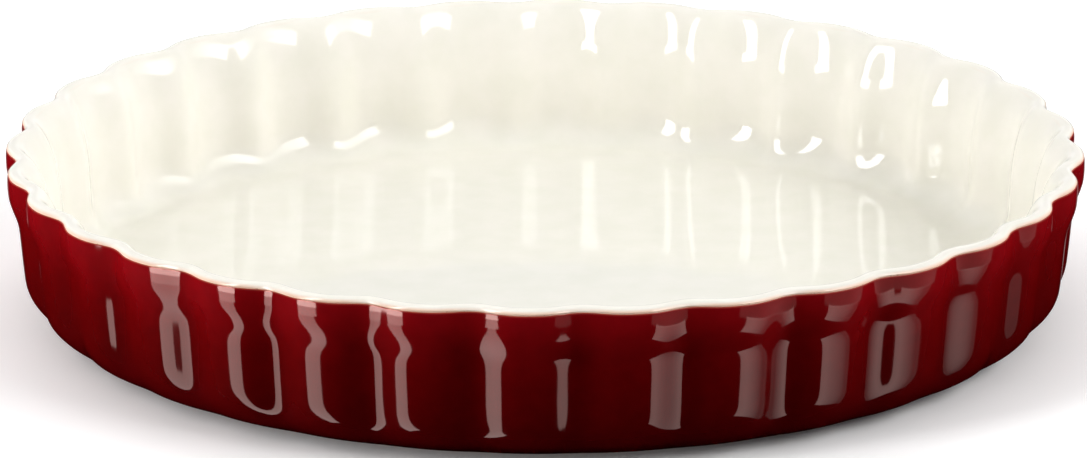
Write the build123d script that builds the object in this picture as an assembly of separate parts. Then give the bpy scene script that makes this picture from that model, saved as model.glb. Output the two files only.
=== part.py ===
from build123d import *
from math import acos, atan2, cos, pi, radians, sin, tan
import os

# A fluted stoneware pie dish, in millimetres. Z is up. The origin is the centre of the foot ring's underside.
# The clay body carries three coats of glaze: cream inside and over the lip, burgundy outside, burgundy underneath.

# Driving dimensions
rim_diameter = 280.7        # over the flute crests, at the collar's widest line
overall_height = 45.0       # foot ring to top of lip

# Flutes, as they are at the widest line; they narrow with the wall as it draws in
flute_count = 32
flute_depth = 2.6           # crest to valley
crest_arc_radius = 13.0
valley_arc_radius = 8.0

# Outside of the wall, in section along a crest
collar_turn_drop = 6.5      # top of lip down to the collar's widest line, where it turns inward
collar_foot_drop = 16.5     # top of lip down to where the collar meets the plain wall
collar_overhang = 3.0       # of the widest line past the top of the plain wall
wall_draft = 4.0            # degrees off upright
heel_radius = 17.3          # wall to underside

# Inside of the wall
lip_thickness = 4.8         # across the lip, glaze to glaze
inner_draft = 6.0           # degrees off upright
cove_radius = 8.0           # wall to floor
floor_thickness = 6.5       # underside of the heel to the floor, glaze to glaze

# Lip
edge_drop = 1.1             # top of lip down to the upper edge of the burgundy coat
edge_inset = 0.3            # of that edge from the widest line
clay_line_width = 0.5       # clay left showing from there up to the lower edge of the cream coat
lip_round = 1.1             # the lip's shoulders, across and down

# Foot ring and underside
foot_diameter = 232.0       # outside of the ring
foot_width = 6.0
heel_clearance = 1.0        # table to the heel's underside
recess_clearance = 1.8      # table to the underside inside the ring
wiped_margin = 1.2          # clay left bare beside the ring, outside and inside

# Glaze
glaze_thickness = 0.5

# How much of the flutes' depth is left at each step round the heel and the cove, from the wall to the flat
heel_depth_shares = [1.0, 0.95, 0.85, 0.74]
cove_depth_shares = [1.0, 0.94, 0.84]

overrun = 5.0               # how far a cutting shape runs past what it cuts

# Worked out from the sizes above
rim_radius = rim_diameter / 2
foot_radius = foot_diameter / 2
half_pitch = pi / flute_count
edge_height = overall_height - edge_drop
clay_top = edge_height + clay_line_width
floor_height = heel_clearance + floor_thickness


def outer_wall_radius(height):
    """Crest radius of the plain wall below the collar."""
    return rim_radius - collar_overhang - (overall_height - collar_foot_drop - height) * tan(radians(wall_draft))


def inner_wall_radius(height):
    """Crest radius of the inside of the wall."""
    lip_radius = rim_radius - edge_inset - lip_thickness
    return lip_radius - (overall_height - lip_round - height) * tan(radians(inner_draft))


def polar(radius, angle, height=0):
    return Vector(radius * cos(angle), radius * sin(angle), height)


def bearing(point):
    return atan2(point.Y, point.X)


def flank(crest_radius, depth_share):
    """Where the straight flank of a flute meets the crest's and the valley's arc, the valley's radius, and the
    direction square to the flank. The flank is the inner tangent that the two arcs share."""
    size = crest_radius / rim_radius
    valley_radius = crest_radius - flute_depth * size * depth_share
    crest_arc = crest_arc_radius * size
    valley_arc = valley_arc_radius * size
    crest_centre = Vector(crest_radius - crest_arc, 0)
    valley_centre = polar(valley_radius + valley_arc, half_pitch)
    between = valley_centre - crest_centre
    square = polar(1, bearing(between) - acos((crest_arc + valley_arc) / between.length))
    return crest_centre + square * crest_arc, valley_centre - square * valley_arc, valley_radius, square


def glaze_ring(height, crest_radius, depth_share=1.0):
    """Ring of glazed flutes: round crests and round valleys joined by straight flanks."""
    crest_end, valley_start, valley_radius, _ = flank(crest_radius, depth_share)
    edges = []
    for flute in range(flute_count):
        crest = 2 * half_pitch * flute
        next_crest = crest + 2 * half_pitch
        crest_start = polar(crest_end.length, crest - bearing(crest_end), height)
        crest_top = polar(crest_radius, crest, height)
        crest_stop = polar(crest_end.length, crest + bearing(crest_end), height)
        valley_entry = polar(valley_start.length, crest + bearing(valley_start), height)
        valley_base = polar(valley_radius, crest + half_pitch, height)
        valley_exit = polar(valley_start.length, next_crest - bearing(valley_start), height)
        next_start = polar(crest_end.length, next_crest - bearing(crest_end), height)
        edges.append(ThreePointArc(crest_start, crest_top, crest_stop))
        edges.append(Line(crest_stop, valley_entry))
        edges.append(ThreePointArc(valley_entry, valley_base, valley_exit))
        edges.append(Line(valley_exit, next_start))
    return Wire(edges)


def clay_ring(height, crest_radius, depth_share=1.0):
    """Ring of flutes as pressed in the clay, with flat crests and sharp valleys, before the glaze rounds them."""
    crest_end, _, _, square = flank(crest_radius, depth_share)
    reach = crest_end.dot(square)
    crest_corner = Vector(crest_radius, (reach - crest_radius * square.X) / square.Y)
    valley_corner = polar(reach / cos(half_pitch - bearing(square)), half_pitch)
    corners = []
    for flute in range(flute_count):
        crest = 2 * half_pitch * flute
        corners.append(polar(crest_corner.length, crest - bearing(crest_corner), height))
        corners.append(polar(crest_corner.length, crest + bearing(crest_corner), height))
        corners.append(polar(valley_corner.length, crest + half_pitch, height))
    return Wire.make_polygon(corners)


def rounded_foot(wall_radius, draft, bottom, radius, inset, depth_shares):
    """Steps from a drafted wall round to the flat below it, as height, crest radius and depth share. The inset
    shifts them square to the surface: positive towards the axis, negative into the clay."""
    tangent_height = bottom + radius - radius * sin(radians(draft))
    centre_radius = wall_radius(tangent_height) - radius * cos(radians(draft))
    steps = []
    for number, depth_share in enumerate(depth_shares):
        angle = radians(draft + (90 - draft) * number / (len(depth_shares) - 1))
        height = bottom + radius - (radius - inset) * sin(angle)
        steps.append((height, centre_radius + (radius - inset) * cos(angle), depth_share))
    return steps


def fluted_solid(ring, steps):
    """Solid through a stack of flute rings, with straight sides from each ring to the next."""
    return Solid.make_loft([ring(*step) for step in steps], True)


def outer_steps(top, inset):
    """Outside of the dish from its top edge down round the heel."""
    collar_turn = (overall_height - collar_turn_drop, rim_radius - inset)
    collar_foot = (overall_height - collar_foot_drop, outer_wall_radius(overall_height - collar_foot_drop) - inset)
    heel = rounded_foot(outer_wall_radius, wall_draft, heel_clearance, heel_radius, inset, heel_depth_shares)
    return [(top, rim_radius - edge_inset - inset), collar_turn, collar_foot] + heel


def hollow_steps(top, inset):
    """Inside of the dish from a given height down round the cove."""
    cove = rounded_foot(inner_wall_radius, inner_draft, floor_height, cove_radius, inset, cove_depth_shares)
    return [(top, inner_wall_radius(top) - inset)] + cove


def disc(radius, bottom, top):
    return Solid.make_cylinder(radius, top - bottom, Plane.XY.offset(bottom))


def stoneware_body():
    """Fired clay: fluted wall, flat floor, and a bare foot ring round a shallow recess."""
    clay = fluted_solid(clay_ring, outer_steps(clay_top, glaze_thickness))
    clay -= fluted_solid(clay_ring, hollow_steps(clay_top, -glaze_thickness))
    underside = heel_clearance + glaze_thickness
    foot_inner_radius = foot_radius - foot_width
    foot = disc(foot_radius, 0, underside) - disc(foot_inner_radius, -overrun, underside + overrun)
    return clay + foot - disc(foot_inner_radius, -overrun, recess_clearance + glaze_thickness)


def outer_glaze():
    """Burgundy coat on the outside, from the lip's outer edge round the heel to the wiped foot ring."""
    coat = fluted_solid(glaze_ring, outer_steps(edge_height, 0))
    coat -= fluted_solid(clay_ring, outer_steps(clay_top, glaze_thickness))
    return coat - disc(foot_radius + wiped_margin, -overrun, heel_clearance + glaze_thickness)


def inner_glaze():
    """Cream coat on the floor and the inside of the wall, and over the lip."""
    lip_outside = rim_radius - edge_inset - glaze_thickness
    shoulder = overall_height - lip_round
    lip = fluted_solid(glaze_ring, [(clay_top, lip_outside), (overall_height, lip_outside - lip_round)])
    coat = lip + fluted_solid(clay_ring, hollow_steps(clay_top, -glaze_thickness))
    mouth = (overall_height, inner_wall_radius(shoulder) + lip_round, 1.0)
    return coat - fluted_solid(glaze_ring, [mouth] + hollow_steps(shoulder, 0))


def base_glaze():
    """Burgundy coat on the underside, inside the wiped foot ring."""
    return disc(foot_radius - foot_width - wiped_margin, recess_clearance, recess_clearance + glaze_thickness)


os.makedirs("parts", exist_ok=True)
for piece in (stoneware_body, outer_glaze, inner_glaze, base_glaze):
    export_step(piece(), f"parts/{piece.__name__}.step")
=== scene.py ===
from math import cos, pi, radians, sin, tan

import bpy
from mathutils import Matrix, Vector


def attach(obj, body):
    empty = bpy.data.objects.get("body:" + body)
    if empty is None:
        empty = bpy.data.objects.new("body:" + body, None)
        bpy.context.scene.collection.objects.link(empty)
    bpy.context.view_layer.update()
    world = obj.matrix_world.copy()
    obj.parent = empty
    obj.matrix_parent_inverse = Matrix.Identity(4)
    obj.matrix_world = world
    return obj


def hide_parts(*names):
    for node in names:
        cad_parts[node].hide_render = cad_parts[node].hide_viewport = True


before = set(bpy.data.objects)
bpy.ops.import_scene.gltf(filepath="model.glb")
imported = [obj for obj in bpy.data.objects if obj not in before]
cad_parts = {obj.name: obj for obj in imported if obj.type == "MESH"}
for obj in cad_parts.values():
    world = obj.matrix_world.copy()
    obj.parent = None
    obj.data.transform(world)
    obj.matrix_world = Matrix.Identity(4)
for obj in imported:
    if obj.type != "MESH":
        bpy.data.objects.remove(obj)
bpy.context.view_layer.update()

# The fired clay body: buff stoneware, jiggered over a fluted mould, with a collar under the lip and a foot
# ring turned below. It shows only as the thin line along the rim, where the two glazes stop short, and at the
# wiped foot. Each surface of the dish is an upright section carried round 32 flutes, by one node tree.

MM = 0.001
FLUTES = 32
FLUTE_DEPTH = 3.0           # crest to valley at the wall, in mm
VALLEY_TIGHTNESS = 0.16     # share that makes the valleys narrower than the crests
SEAM_REACH = 0.002          # how near two points are joined where the net closes, in mm


def add(tree, kind, inputs=None, stops=(), **settings):
    """Adds a node with its settings, its inputs as plain values or as links from other nodes, and a colour
    ramp's stops, each a place from 0 to 1 and an sRGB hex colour."""
    node = tree.nodes.new(kind)
    while stops and len(node.color_ramp.elements) < len(stops):
        node.color_ramp.elements.new(0.5)
    for number, (place, code) in enumerate(stops):
        node.color_ramp.elements[number].position = place
        node.color_ramp.elements[number].color = linear(code)
    for name, value in settings.items():
        setattr(node, name, value)
    for name, value in (inputs or {}).items():
        if isinstance(value, bpy.types.NodeSocket):
            tree.links.new(value, node.inputs[name])
        else:
            node.inputs[name].default_value = value
    return node


def fluted_turning():
    """The node tree: an upright section, carried round the dish, with flutes pressed in."""
    tree = bpy.data.node_groups.new("fluted turning", "GeometryNodeTree")
    face = tree.interface
    face.new_socket("Section", in_out="INPUT", socket_type="NodeSocketGeometry")
    for name, kind in (
        ("Flutes", "NodeSocketInt"),
        ("Steps per flute", "NodeSocketInt"),
        ("Steps per section point", "NodeSocketInt"),
        ("Valley tightness", "NodeSocketFloat"),
        ("Hand wobble", "NodeSocketFloat"),
        ("Wobble size", "NodeSocketFloat"),
        ("Seed", "NodeSocketInt"),
        ("Glaze or clay", "NodeSocketMaterial"),
    ):
        face.new_socket(name, in_out="INPUT", socket_type=kind)
    face.new_socket("Surface", in_out="OUTPUT", socket_type="NodeSocketGeometry")
    given = add(tree, "NodeGroupInput").outputs

    # The section, smoothed: each point holds the crest radius in x, the flute depth in y and the height in z
    line = add(tree, "GeometryNodeMeshToCurve", {"Mesh": given["Section"]}).outputs[0]
    line = add(tree, "GeometryNodeCurveSplineType", {"Curve": line}, spline_type="NURBS").outputs[0]
    line = add(
        tree,
        "GeometryNodeSetSplineResolution",
        {"Geometry": line, "Resolution": given["Steps per section point"]},
    ).outputs[0]
    rows_line = add(tree, "GeometryNodeCurveToMesh", {"Curve": line}).outputs[0]
    rows = add(tree, "GeometryNodeAttributeDomainSize", {"Geometry": rows_line}).outputs["Point Count"]

    # A flat net of that many rows, with one column more than the steps round, whose two ends meet
    round_it = {0: given["Flutes"], 1: given["Steps per flute"]}
    steps = add(tree, "ShaderNodeMath", round_it, operation="MULTIPLY").outputs[0]
    columns = add(tree, "ShaderNodeMath", {0: steps, 1: 1.0}, operation="ADD").outputs[0]
    net = add(tree, "GeometryNodeMeshGrid", {"Vertices X": columns, "Vertices Y": rows}).outputs[0]
    index = add(tree, "GeometryNodeInputIndex").outputs[0]
    column = add(tree, "ShaderNodeMath", {0: index, 1: 0.5}, operation="ADD").outputs[0]
    column = add(tree, "ShaderNodeMath", {0: column, 1: rows}, operation="DIVIDE").outputs[0]
    column = add(tree, "ShaderNodeMath", {0: column}, operation="FLOOR").outputs[0]
    before = add(tree, "ShaderNodeMath", {0: column, 1: rows}, operation="MULTIPLY").outputs[0]
    row = add(tree, "ShaderNodeMath", {0: index, 1: before}, operation="SUBTRACT").outputs[0]
    station = add(
        tree,
        "GeometryNodeSampleIndex",
        {"Geometry": rows_line, "Value": add(tree, "GeometryNodeInputPosition").outputs[0], "Index": row},
        data_type="FLOAT_VECTOR",
        domain="POINT",
    ).outputs[0]
    crest_radius, depth, height = add(tree, "ShaderNodeSeparateXYZ", {0: station}).outputs

    # How far round it is, and how deep into a valley: 0 on a crest, 1 in a valley
    turn = add(tree, "ShaderNodeMath", {0: column, 1: steps}, operation="DIVIDE").outputs[0]
    turn = add(tree, "ShaderNodeMath", {0: turn, 1: 2 * pi}, operation="MULTIPLY").outputs[0]
    phase = add(tree, "ShaderNodeMath", {0: turn, 1: given["Flutes"]}, operation="MULTIPLY").outputs[0]
    tightness = given["Valley tightness"]
    first = add(tree, "ShaderNodeMath", {0: phase}, operation="COSINE").outputs[0]
    wave = add(tree, "ShaderNodeMath", {0: 1.0, 1: tightness}, operation="SUBTRACT").outputs[0]
    wave = add(tree, "ShaderNodeMath", {0: wave, 1: first}, operation="SUBTRACT").outputs[0]
    second = add(tree, "ShaderNodeMath", {0: phase, 1: 2.0}, operation="MULTIPLY").outputs[0]
    second = add(tree, "ShaderNodeMath", {0: second}, operation="COSINE").outputs[0]
    second = add(tree, "ShaderNodeMath", {0: tightness, 1: second}, operation="MULTIPLY").outputs[0]
    valley = add(tree, "ShaderNodeMath", {0: wave, 1: second}, operation="ADD").outputs[0]
    valley = add(tree, "ShaderNodeMath", {0: valley, 1: 0.5}, operation="MULTIPLY").outputs[0]
    press = add(tree, "ShaderNodeMath", {0: depth, 1: valley}, operation="MULTIPLY").outputs[0]
    radius = add(tree, "ShaderNodeMath", {0: crest_radius, 1: press}, operation="SUBTRACT").outputs[0]
    across = add(tree, "ShaderNodeMath", {0: turn}, operation="COSINE").outputs[0]
    across = add(tree, "ShaderNodeMath", {0: radius, 1: across}, operation="MULTIPLY").outputs[0]
    along = add(tree, "ShaderNodeMath", {0: turn}, operation="SINE").outputs[0]
    along = add(tree, "ShaderNodeMath", {0: radius, 1: along}, operation="MULTIPLY").outputs[0]
    place = add(tree, "ShaderNodeCombineXYZ", {0: across, 1: along, 2: height}).outputs[0]
    surface = add(tree, "GeometryNodeSetPosition", {"Geometry": net, "Position": place}).outputs[0]
    sunk = add(tree, "ShaderNodeMath", {0: depth, 1: FLUTE_DEPTH * MM}, operation="DIVIDE").outputs[0]
    sunk = add(tree, "ShaderNodeMath", {0: valley, 1: sunk}, operation="MULTIPLY").outputs[0]
    surface = add(
        tree,
        "GeometryNodeStoreNamedAttribute",
        {"Geometry": surface, "Name": "valley", "Value": sunk},
        data_type="FLOAT",
        domain="POINT",
    ).outputs[0]
    seams = {"Geometry": surface, "Distance": SEAM_REACH * MM}
    surface = add(tree, "GeometryNodeMergeByDistance", seams).outputs[0]

    # The slight unevenness that pressing and glazing leave, always inwards
    scale = add(tree, "ShaderNodeMath", {0: 1.0, 1: given["Wobble size"]}, operation="DIVIDE").outputs[0]
    noise = add(
        tree,
        "ShaderNodeTexNoise",
        {
            "Vector": add(tree, "GeometryNodeInputPosition").outputs[0],
            "W": given["Seed"],
            "Scale": scale,
            "Detail": 1.0,
        },
        noise_dimensions="4D",
    ).outputs[0]
    sink = add(tree, "ShaderNodeMath", {0: noise, 1: given["Hand wobble"]}, operation="MULTIPLY").outputs[0]
    sink = add(tree, "ShaderNodeMath", {0: sink, 1: -1.0}, operation="MULTIPLY").outputs[0]
    shift = add(
        tree,
        "ShaderNodeVectorMath",
        {0: add(tree, "GeometryNodeInputNormal").outputs[0], "Scale": sink},
        operation="SCALE",
    ).outputs[0]
    surface = add(tree, "GeometryNodeSetPosition", {"Geometry": surface, "Offset": shift}).outputs[0]
    surface = add(tree, "GeometryNodeSetShadeSmooth", {"Geometry": surface}).outputs[0]
    surface = add(tree, "GeometryNodeRealizeInstances", {"Geometry": surface}).outputs[0]
    coated = {"Geometry": surface, "Material": given["Glaze or clay"]}
    surface = add(tree, "GeometryNodeSetMaterial", coated).outputs[0]
    add(tree, "NodeGroupOutput", {"Surface": surface})
    return tree


TURNING = fluted_turning()


def turned(
    name, section, material, steps_per_flute=20, steps_per_point=3, wobble=0.08, wobble_size=45.0, seed=3
):
    """A finished piece from its section: height, crest radius and share of the flutes' depth at each point.
    Sizes are in mm. The end points are given three times, so that the smoothed section reaches them."""
    points = [(r * MM, share * FLUTE_DEPTH * MM, z * MM) for z, r, share in section]
    points = [points[0]] * 2 + points + [points[-1]] * 2
    line = bpy.data.meshes.new(name + " section")
    line.from_pydata(points, [(n, n + 1) for n in range(len(points) - 1)], [])
    maker = bpy.data.objects.new(name + " maker", line)
    bpy.context.scene.collection.objects.link(maker)
    modifier = maker.modifiers.new("fluted turning", "NODES")
    modifier.node_group = TURNING
    sizes = {
        "Flutes": FLUTES,
        "Steps per flute": steps_per_flute,
        "Steps per section point": steps_per_point,
        "Valley tightness": VALLEY_TIGHTNESS,
        "Hand wobble": wobble * MM,
        "Wobble size": wobble_size * MM,
        "Seed": seed,
        "Glaze or clay": material,
    }
    for socket in TURNING.interface.items_tree:
        if socket.in_out == "INPUT" and socket.name in sizes:
            modifier[socket.identifier] = sizes[socket.name]
    shaped = maker.evaluated_get(bpy.context.evaluated_depsgraph_get())
    mesh = bpy.data.meshes.new_from_object(shaped)
    mesh.name = name
    if not mesh.materials:
        mesh.materials.append(material)
    bpy.data.objects.remove(maker)
    piece = bpy.data.objects.new(name, mesh)
    bpy.context.scene.collection.objects.link(piece)
    return piece


def linear(code):
    """An sRGB hex colour as the linear colour that shaders take."""
    parts = [int(code[n : n + 2], 16) / 255 for n in (1, 3, 5)]
    return tuple(c / 12.92 if c <= 0.04045 else ((c + 0.055) / 1.055) ** 2.4 for c in parts) + (1.0,)


# Buff stoneware, fired and unglazed: matt and slightly gritty, peach where the flame and the glaze's edge
# have touched it, with fine dark and rusty specks of iron.
clay = bpy.data.materials.new("buff stoneware, fired bare")
clay.use_nodes = True
tree = clay.node_tree
shader = tree.nodes["Principled BSDF"]
spot = add(tree, "ShaderNodeTexCoord").outputs["Object"]
tone = add(tree, "ShaderNodeTexNoise", {"Vector": spot, "Scale": 1 / (14 * MM), "Detail": 4.0}).outputs[0]
buffs = [(0.3, "#eac9ae"), (0.55, "#f1d4bd"), (0.75, "#f5dcc8")]
body = add(tree, "ShaderNodeValToRGB", {"Fac": tone}, stops=buffs).outputs[0]
grit = add(tree, "ShaderNodeTexNoise", {"Vector": spot, "Scale": 1 / (0.9 * MM), "Detail": 2.0}).outputs[0]
irons = [(0.66, "#ffffff"), (0.74, "#8a6248")]
speck = add(tree, "ShaderNodeValToRGB", {"Fac": grit}, stops=irons).outputs[0]
mixing = {0: 0.55, 6: body, 7: speck}
body = add(tree, "ShaderNodeMix", mixing, data_type="RGBA", blend_type="MULTIPLY").outputs[2]
tree.links.new(body, shader.inputs["Base Color"])
dryness = add(tree, "ShaderNodeMapRange", {0: tone, 3: 0.7, 4: 0.85}).outputs[0]
tree.links.new(dryness, shader.inputs["Roughness"])
bump = add(tree, "ShaderNodeBump", {"Height": grit, "Strength": 0.35, "Distance": 0.05 * MM}).outputs[0]
tree.links.new(bump, shader.inputs["Normal"])

stoneware = turned(
    "stoneware_clay",
    [
        (2.4, 0.0, 0), (2.4, 60.0, 0), (2.4, 100.0, 0), (2.4, 106.0, 0), (2.4, 109.0, 0), (2.2, 109.8, 0),
        (1.2, 110.0, 0), (0.3, 110.0, 0), (0.0, 110.3, 0), (0.0, 111.0, 0), (0.0, 113.0, 0),
        (0.0, 115.0, 0), (0.0, 115.7, 0), (0.3, 116.0, 0), (1.0, 116.1, 0), (1.5, 116.4, 0),
        (1.7, 117.4, 0), (1.9, 119.2, 0.03), (2.6, 122.4, 0.1), (3.6, 125.7, 0.16), (5.0, 128.4, 0.26),
        (6.8, 130.6, 0.38), (8.7, 132.4, 0.52), (11.5, 134.3, 0.77), (14.4, 135.3, 0.95),
        (18.0, 135.9, 1.0), (24.0, 136.4, 1.0), (28.0, 136.7, 1.0), (31.8, 137.55, 0.98),
        (34.0, 138.4, 0.95), (37.0, 139.4, 0.93), (40.0, 139.65, 0.92), (42.5, 139.65, 0.92),
        (43.2, 139.8, 0.92), (43.5, 140.0, 0.92), (43.72, 139.9, 0.92), (43.95, 139.5, 0.92),
        (44.3, 138.9, 0.92), (44.5, 138.4, 0.92), (44.45, 137.9, 0.92), (44.0, 137.1, 0.92),
        (43.1, 136.3, 0.92), (41.0, 135.0, 0.92), (38.0, 133.7, 0.93), (35.0, 132.9, 0.95),
        (31.0, 132.1, 0.98), (26.0, 131.6, 1.0), (21.0, 131.3, 1.0), (17.0, 131.0, 0.98),
        (14.6, 130.7, 0.9), (12.6, 130.0, 0.77), (10.8, 128.9, 0.6), (9.2, 127.4, 0.42),
        (7.9, 125.4, 0.24), (7.2, 122.8, 0.1), (7.0, 119.0, 0), (7.0, 100.0, 0), (7.0, 50.0, 0),
        (7.0, 0.0, 0),
    ],
    clay,
    steps_per_point=2,
)
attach(stoneware, "root")
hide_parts("stoneware_body")

# The cream glaze: a warm white tin glaze poured inside and rolled over the lip, half a millimetre thick. It
# lies smooth and deep on the floor and in the cove, and thins to a peach tone at its edge outside the lip.
cream = bpy.data.materials.new("cream tin glaze, gloss fired")
cream.use_nodes = True
tree = cream.node_tree
shader = tree.nodes["Principled BSDF"]
spot = add(tree, "ShaderNodeTexCoord").outputs["Object"]
height = add(tree, "ShaderNodeSeparateXYZ", {0: spot}).outputs[2]
cloud = add(tree, "ShaderNodeTexNoise", {"Vector": spot, "Scale": 1 / (38 * MM), "Detail": 3.0}).outputs[0]
drift = add(tree, "ShaderNodeMath", {0: cloud, 1: 6 * MM, 2: height}, operation="MULTIPLY_ADD").outputs[0]
level = add(tree, "ShaderNodeMapRange", {0: drift, 1: 8 * MM, 2: 48 * MM}).outputs[0]
shades = [(0.0, "#f2f0e6"), (0.2, "#f7f3e9"), (0.55, "#fcf8ef"), (0.86, "#fcf8ef"), (1.0, "#faf6ed")]
tint = add(tree, "ShaderNodeValToRGB", {"Fac": level}, stops=shades).outputs[0]
mottle = add(tree, "ShaderNodeTexNoise", {"Vector": spot, "Scale": 1 / (9 * MM), "Detail": 4.0}).outputs[0]
clouds = [(0.35, "#fbfcfa"), (0.65, "#ffffff")]
mottle = add(tree, "ShaderNodeValToRGB", {"Fac": mottle}, stops=clouds).outputs[0]
mixing = {0: 1.0, 6: tint, 7: mottle}
tint = add(tree, "ShaderNodeMix", mixing, data_type="RGBA", blend_type="MULTIPLY").outputs[2]

# The coat's thin edge: low on the lip, and on its outside only, by the distance from the dish's origin
edge = add(tree, "ShaderNodeMapRange", {0: height, 1: 44.55 * MM, 2: 43.95 * MM}).outputs[0]
reach = add(tree, "ShaderNodeVectorMath", {0: spot}, operation="LENGTH").outputs["Value"]
reach = add(tree, "ShaderNodeMapRange", {0: reach, 1: 143.0 * MM, 2: 145.5 * MM}).outputs[0]
edge = add(tree, "ShaderNodeMath", {0: edge, 1: reach}, operation="MULTIPLY").outputs[0]
tint = add(tree, "ShaderNodeMix", {0: edge, 6: tint, 7: linear("#f4d0b8")}, data_type="RGBA").outputs[2]
tree.links.new(tint, shader.inputs["Base Color"])
polish = add(tree, "ShaderNodeMapRange", {0: cloud, 3: 0.02, 4: 0.05}).outputs[0]
tree.links.new(polish, shader.inputs["Roughness"])
shader.inputs["IOR"].default_value = 1.5
peel = add(tree, "ShaderNodeTexNoise", {"Vector": spot, "Scale": 1 / (7 * MM), "Detail": 2.0}).outputs[0]
bump = add(tree, "ShaderNodeBump", {"Height": peel, "Strength": 0.1, "Distance": 0.03 * MM}).outputs[0]
tree.links.new(bump, shader.inputs["Normal"])

inside = turned(
    "cream_glaze_inside",
    [
        (7.1, 0.0, 0), (7.1, 50.0, 0), (7.1, 100.0, 0), (7.1, 118.0, 0), (7.3, 122.6, 0.1),
        (8.0, 125.2, 0.24), (9.3, 127.3, 0.42), (10.9, 128.8, 0.6), (12.7, 129.9, 0.77),
        (14.6, 130.6, 0.9), (17.0, 130.9, 0.98), (21.0, 131.2, 1.0), (26.0, 131.5, 1.0),
        (31.0, 132.0, 0.98), (35.0, 132.8, 0.95), (38.0, 133.6, 0.93), (41.0, 134.9, 0.92),
        (43.0, 136.2, 0.92), (43.9, 137.0, 0.92), (44.35, 137.8, 0.92), (44.4, 138.4, 0.92),
        (44.25, 138.9, 0.92), (43.9, 139.4, 0.92), (43.7, 139.75, 0.92), (43.64, 140.02, 0.92),
        (43.76, 140.1, 0.92), (43.98, 139.98, 0.92), (44.27, 139.77, 0.92), (44.52, 139.52, 0.92),
        (44.73, 139.23, 0.92), (44.88, 138.9, 0.92), (44.97, 138.56, 0.92), (45.0, 138.2, 0.92),
        (44.97, 137.8, 0.92), (44.8, 137.2, 0.92), (44.35, 136.45, 0.92), (43.6, 135.65, 0.92),
        (42.6, 134.9, 0.92), (41.5, 134.2, 0.92), (40.3, 133.6, 0.92), (39.0, 133.05, 0.93),
        (37.3, 132.5, 0.94), (35.2, 131.95, 0.95), (33.0, 131.5, 0.97), (31.0, 131.15, 0.98),
        (28.0, 130.75, 1.0), (24.0, 130.45, 1.0), (19.5, 130.2, 1.0), (16.5, 130.0, 0.97),
        (14.9, 129.75, 0.91), (13.25, 129.15, 0.82), (11.75, 128.3, 0.7), (10.4, 127.2, 0.56),
        (9.1, 125.55, 0.4), (8.1, 123.5, 0.22), (7.6, 121.3, 0.08), (7.5, 119.0, 0), (7.5, 112.0, 0),
        (7.5, 90.0, 0), (7.5, 60.0, 0), (7.5, 30.0, 0), (7.5, 0.0, 0),
    ],
    cream,
    steps_per_point=2,
    wobble=0.03,
    wobble_size=80.0,
    seed=11,
)
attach(inside, "root")
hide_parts("inner_glaze")

# The burgundy glaze: an iron and copper red, brushed and sprayed outside, fired to a deep gloss. Its red holds
# painted light and shade: brighter high on the collar, darker in the valleys and down toward the heel.
burgundy = bpy.data.materials.new("burgundy glaze, gloss fired")
burgundy.use_nodes = True
tree = burgundy.node_tree
shader = tree.nodes["Principled BSDF"]
spot = add(tree, "ShaderNodeTexCoord").outputs["Object"]
height = add(tree, "ShaderNodeSeparateXYZ", {0: spot}).outputs[2]
cloud = add(tree, "ShaderNodeTexNoise", {"Vector": spot, "Scale": 1 / (30 * MM), "Detail": 3.0}).outputs[0]
valley = add(tree, "ShaderNodeAttribute", attribute_name="valley").outputs["Fac"]
# Painted light and shade: the red steps with height, dark at the heel and bright on the collar, and valleys
# count 3 mm lower
drift = add(tree, "ShaderNodeMath", {0: cloud, 1: 5 * MM, 2: height}, operation="MULTIPLY_ADD").outputs[0]
drift = add(tree, "ShaderNodeMath", {0: valley, 1: -3 * MM, 2: drift}, operation="MULTIPLY_ADD").outputs[0]
level = add(tree, "ShaderNodeMapRange", {0: drift, 1: 2 * MM, 2: 46 * MM}).outputs[0]
shades = [(0.0, "#300103"), (0.3, "#4a0203"), (0.6, "#5a0204"), (0.85, "#72050a"), (1.0, "#800810")]
red = add(tree, "ShaderNodeValToRGB", {"Fac": level}, stops=shades).outputs[0]
mottle = add(tree, "ShaderNodeTexNoise", {"Vector": spot, "Scale": 1 / (3.5 * MM), "Detail": 3.0}).outputs[0]
clouds = [(0.3, "#eeeeee"), (0.7, "#ffffff")]
mottle = add(tree, "ShaderNodeValToRGB", {"Fac": mottle}, stops=clouds).outputs[0]
mixing = {0: 1.0, 6: red, 7: mottle}
red = add(tree, "ShaderNodeMix", mixing, data_type="RGBA", blend_type="MULTIPLY").outputs[2]
edge = add(tree, "ShaderNodeMapRange", {0: height, 1: 43.1 * MM, 2: 43.5 * MM}).outputs[0]
red = add(tree, "ShaderNodeMix", {0: edge, 6: red, 7: linear("#b8503c")}, data_type="RGBA").outputs[2]
tree.links.new(red, shader.inputs["Base Color"])
polish = add(tree, "ShaderNodeMapRange", {0: cloud, 3: 0.03, 4: 0.1}).outputs[0]
tree.links.new(polish, shader.inputs["Roughness"])
shader.inputs["IOR"].default_value = 1.5
shader.inputs["Specular Tint"].default_value = linear("#ffd4cc")
peel = add(tree, "ShaderNodeTexNoise", {"Vector": spot, "Scale": 1 / (9 * MM), "Detail": 2.0}).outputs[0]
bump = add(tree, "ShaderNodeBump", {"Height": peel, "Strength": 0.2, "Distance": 0.05 * MM}).outputs[0]
tree.links.new(bump, shader.inputs["Normal"])

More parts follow.
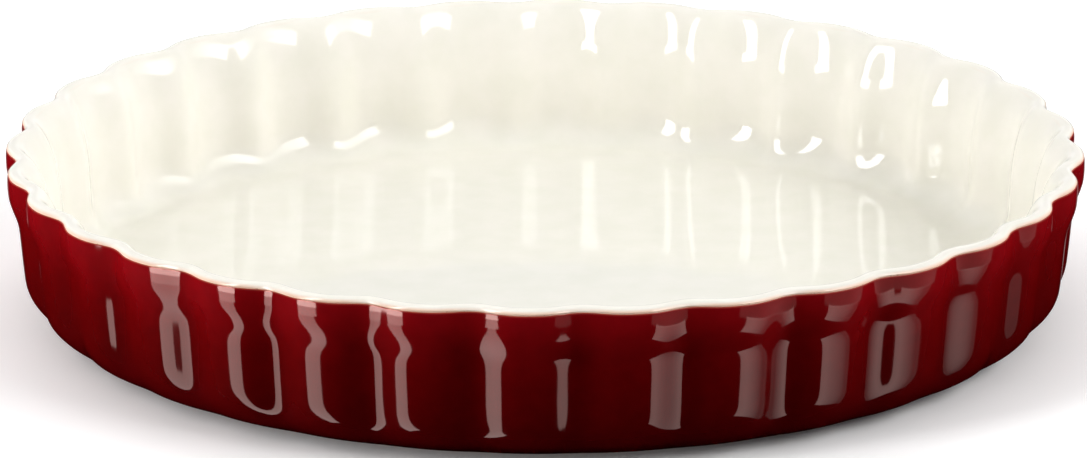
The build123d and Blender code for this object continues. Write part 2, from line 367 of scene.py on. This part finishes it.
outside = turned(
    "burgundy_glaze_outside",
    [
        (43.35, 139.75, 0.92), (42.6, 139.65, 0.92), (40.0, 139.75, 0.92), (36.0, 139.3, 0.94),
        (31.8, 137.75, 0.98), (28.0, 136.9, 1.0), (25.0, 136.7, 1.0), (17.5, 136.1, 1.0),
        (14.4, 135.6, 0.95), (11.4, 134.6, 0.77), (8.5, 132.9, 0.52), (6.5, 131.1, 0.38),
        (4.6, 128.7, 0.26), (3.1, 125.6, 0.16), (2.2, 122.0, 0.1), (1.6, 118.6, 0.03), (1.4, 117.3, 0.0),
        (1.1, 117.3, 0.0), (1.05, 118.0, 0.0), (1.3, 120.2, 0.05), (2.0, 123.4, 0.1), (3.2, 126.8, 0.18),
        (4.8, 129.6, 0.28), (6.5, 131.6, 0.38), (8.5, 133.4, 0.52), (10.3, 134.55, 0.67),
        (11.8, 135.2, 0.81), (13.4, 135.73, 0.93), (15.2, 136.05, 0.98), (17.5, 136.31, 1.0),
        (21.0, 136.68, 1.0), (25.0, 137.05, 1.0), (28.0, 137.32, 1.0), (30.0, 137.57, 0.99),
        (31.6, 138.02, 0.98), (33.4, 138.72, 0.96), (35.2, 139.4, 0.94), (36.8, 139.9, 0.93),
        (38.2, 140.14, 0.92), (39.6, 140.25, 0.92), (41.2, 140.3, 0.92), (42.1, 140.3, 0.92),
        (42.7, 140.25, 0.92), (43.1, 140.2, 0.92), (43.4, 140.12, 0.92), (43.5, 139.98, 0.92),
        (43.35, 139.75, 0.92),
    ],
    burgundy,
    seed=3,
)
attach(outside, "root")
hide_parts("outer_glaze")

# The glazed recess under the dish: the same burgundy, flooded inside the foot ring and wiped back from it, so
# it ends in a rounded bead.
recess = turned(
    "burgundy_glaze_underside",
    [
        (1.8, 0.0, 0), (1.8, 30.0, 0), (1.8, 60.0, 0), (1.8, 90.0, 0), (1.8, 104.0, 0), (1.8, 107.0, 0),
        (1.85, 108.3, 0), (2.0, 108.8, 0), (2.25, 108.7, 0), (2.3, 108.0, 0), (2.3, 105.0, 0),
        (2.3, 60.0, 0), (2.3, 0.0, 0),
    ],
    burgundy,
    steps_per_flute=8,
    seed=7,
)
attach(recess, "root")
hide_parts("base_glaze")

# The table: a plain white matt card, wide enough to fill every view. Away from the dish it has a painted glow,
# seen by the camera only, that lifts it to white and narrows the dish's shadow. Gloss, bounced light and
# shadow rays pass through it, because the soft boxes below its level give what it would mirror and throw back.
TABLE_WIDTH = 30.0
LIFT = 0.3                  # added for the camera, past the dish's shadow
LIFT_CENTRE = (0.012, 0, 0) # a little to the right, where the shadow reaches farther
LIFT_START, LIFT_END = 0.11, 0.16
table = bpy.data.materials.new("white matt card")
table.use_nodes = True
tree = table.node_tree
shader = tree.nodes["Principled BSDF"]
spot = add(tree, "ShaderNodeTexCoord").outputs["Object"]
grain = add(tree, "ShaderNodeTexNoise", {"Vector": spot, "Scale": 1 / (83 * MM), "Detail": 2.0}).outputs[0]
whites = [(0.3, "#fbfbfb"), (0.7, "#ffffff")]
card = add(tree, "ShaderNodeValToRGB", {"Fac": grain}, stops=whites).outputs[0]
tree.links.new(card, shader.inputs["Base Color"])
shader.inputs["Roughness"].default_value = 1.0
shader.inputs["Specular IOR Level"].default_value = 0.0
away = add(tree, "ShaderNodeVectorMath", {0: spot, 1: LIFT_CENTRE}, operation="DISTANCE").outputs["Value"]
lift = add(tree, "ShaderNodeMapRange", {0: away, 1: LIFT_START, 2: LIFT_END, 3: 0.0, 4: LIFT}).outputs[0]
seen = add(tree, "ShaderNodeLightPath").outputs["Is Camera Ray"]
lift = add(tree, "ShaderNodeMath", {0: lift, 1: seen}, operation="MULTIPLY").outputs[0]
shader.inputs["Emission Color"].default_value = linear("#ffffff")
tree.links.new(lift, shader.inputs["Emission Strength"])
half = TABLE_WIDTH / 2
sheet = bpy.data.meshes.new("table")
corners = [(-half, -half, 0), (half, -half, 0), (half, half, 0), (-half, half, 0)]
sheet.from_pydata(corners, [], [(0, 1, 2, 3)])
sheet.materials.append(table)
floor = bpy.data.objects.new("table", sheet)
bpy.context.scene.collection.objects.link(floor)
floor.visible_glossy = False
floor.visible_diffuse = False
floor.visible_shadow = False

# The patch of table that the dish covers, a hair lower: no light comes up through it to the heel or foot.
SHADE_RADIUS = 0.13
SHADE_DROP = 0.05 * MM
SHADE_SIDES = 96
turns = [2 * pi * n / SHADE_SIDES for n in range(SHADE_SIDES)]
rim = [(SHADE_RADIUS * cos(turn), SHADE_RADIUS * sin(turn), -SHADE_DROP) for turn in turns]
patch = bpy.data.meshes.new("table under the dish")
patch.from_pydata(rim, [], [tuple(range(SHADE_SIDES))])
patch.materials.append(table)
shade = bpy.data.objects.new("table under the dish", patch)
bpy.context.scene.collection.objects.link(shade)
shade.visible_camera = False
shade.visible_glossy = False

# The studio: a pale dome overhead, brighter behind the dish and dark below the table's level, and soft boxes
# round the dish. Their bearings are turned from the camera's own, to its right.
CAMERA_BEARING = -88.24     # degrees, seen from above, from +X
BOX_DISTANCE = 6.0
GLOSS_BOX_DISTANCE = 6.1    # a little farther, so that no two boxes share a plane
world = bpy.data.worlds.new("studio")
bpy.context.scene.world = world
world.use_nodes = True
tree = world.node_tree
sky = add(tree, "ShaderNodeTexCoord").outputs["Generated"]
_, behind, up = add(tree, "ShaderNodeSeparateXYZ", {0: sky}).outputs
above = add(tree, "ShaderNodeMapRange", {0: up, 1: -0.02, 2: 0.02}).outputs[0]
level = add(tree, "ShaderNodeMapRange", {0: behind, 1: -0.3, 2: 0.5, 3: 0.22, 4: 0.8}).outputs[0]
level = add(tree, "ShaderNodeMath", {0: above, 1: level}, operation="MULTIPLY").outputs[0]
back = tree.nodes["Background"]
back.inputs["Color"].default_value = linear("#ffffff")
tree.links.new(level, back.inputs["Strength"])


def soft_box(name, left, right, low, high, radiance, lights="all", fading=False):
    """An upright soft box, far off and turned to the dish, between two bearings and two elevations, in
    degrees. It lights all, or only the gloss or the matt share of a surface. A fading one dims to one side."""
    distance = GLOSS_BOX_DISTANCE if lights == "gloss" else BOX_DISTANCE
    bearing, half_width = (left + right) / 2, (right - left) / 2
    lamp = bpy.data.lights.new(name, "AREA")
    lamp.shape = "RECTANGLE"
    lamp.size = 2 * distance * tan(radians(half_width))
    lamp.size_y = distance * (tan(radians(high)) - tan(radians(low)))
    lamp.energy = radiance * pi * lamp.size * lamp.size_y
    if fading:
        lamp.use_nodes = True
        glow = lamp.node_tree.nodes["Emission"]
        across = add(lamp.node_tree, "ShaderNodeNewGeometry").outputs["Parametric"]
        across = add(lamp.node_tree, "ShaderNodeSeparateXYZ", {0: across}).outputs[0]
        dimming = {0: across, 1: 0.2, 2: 0.85, 3: 1.0, 4: 0.15}
        level = add(lamp.node_tree, "ShaderNodeMapRange", dimming).outputs[0]
        lamp.node_tree.links.new(level, glow.inputs["Strength"])
    box = bpy.data.objects.new(name, lamp)
    bpy.context.scene.collection.objects.link(box)
    angle = radians(CAMERA_BEARING + bearing)
    middle = distance * (tan(radians(high)) + tan(radians(low))) / 2
    box.location = (distance * cos(angle), distance * sin(angle), middle)
    box.rotation_euler = (radians(90), 0, angle + radians(90))
    box.visible_camera = False
    box.visible_diffuse = lights != "gloss"
    box.visible_glossy = lights != "matt"


soft_box("left strip box, low", -70.5, -44.5, -15, 8, 4.2)
soft_box("left strip box, low, its bright middle", -70.5, -44.5, -15, 8, 8.0, "gloss")
soft_box("left strip box, high", -68, -50, 8, 55, 6.2)
soft_box("left strip box, high, its bright middle", -68, -50, 8, 55, 6.0, "gloss")
soft_box("left strip box in the table, its far end", -71, -45.5, -23, -15, 5.2, "gloss")
soft_box("left strip box in the table", -72, -48.5, -65, -23, 3.6, "gloss")
soft_box("left light off the table", -145, -78, -58, -12, 7.5, "matt")
soft_box("left back panel", -179, -160, -18.5, 15, 0.3, "gloss")
soft_box("right wide box", 42, 112, 24, 50, 7.0, fading=True)
soft_box("right wide box in the table", 44.5, 94, -47, -22.5, 2.4, "gloss", fading=True)
soft_box("right spill on the table", 36, 100, -23.5, 0, 0.5, "gloss")
soft_box("right light off the table", 78, 145, -58, -12, 5.0, "matt")
soft_box("right back panel", 160, 179, -18.5, 15, 0.3, "gloss")

# One weak box overhead, for the soft sheen on the floor of the dish
OVERHEAD_RADIANCE = 0.12
overhead = bpy.data.lights.new("overhead box", "AREA")
overhead.shape = "RECTANGLE"
overhead.size = 2.4
overhead.size_y = 2.0
overhead.energy = OVERHEAD_RADIANCE * pi * overhead.size * overhead.size_y
box = bpy.data.objects.new("overhead box", overhead)
bpy.context.scene.collection.objects.link(box)
box.location = (-0.3, 0.2, 2.0)
box.rotation_mode = "QUATERNION"
box.rotation_quaternion = (Vector((0, 0, 0)) - box.location).to_track_quat("-Z", "Y")
box.visible_camera = False

# The camera: a long lens, a little above the rim, with one flute's crest just right of the middle.
CAMERA_DISTANCE = 2.6156    # from the rim's centre
CAMERA_ELEVATION = 16.864   # degrees
RIM_HEIGHT = 43.8 * MM
AIM_DROP = 20.42 * MM       # the view's centre below the rim's centre
AIM_LEFT = 0.29 * MM        # and to the left of it
lens = bpy.data.cameras.new("camera")
lens.sensor_width = 36.0
lens.lens = 333.36
lens.clip_start = 0.05
lens.clip_end = 60.0
camera = bpy.data.objects.new("camera", lens)
bpy.context.scene.collection.objects.link(camera)
bearing, rise = radians(CAMERA_BEARING), radians(CAMERA_ELEVATION)
rim_centre = Vector((0, 0, RIM_HEIGHT))
towards = Vector((cos(rise) * cos(bearing), cos(rise) * sin(bearing), sin(rise)))
right = Vector((-sin(bearing), cos(bearing), 0))
upward = towards.cross(right)
camera.location = rim_centre + towards * CAMERA_DISTANCE
aim = rim_centre - upward * AIM_DROP - right * AIM_LEFT
camera.rotation_mode = "QUATERNION"
camera.rotation_quaternion = (aim - camera.location).to_track_quat("-Z", "Y")
bpy.context.scene.camera = camera
bpy.context.scene.view_settings.view_transform = "Standard"
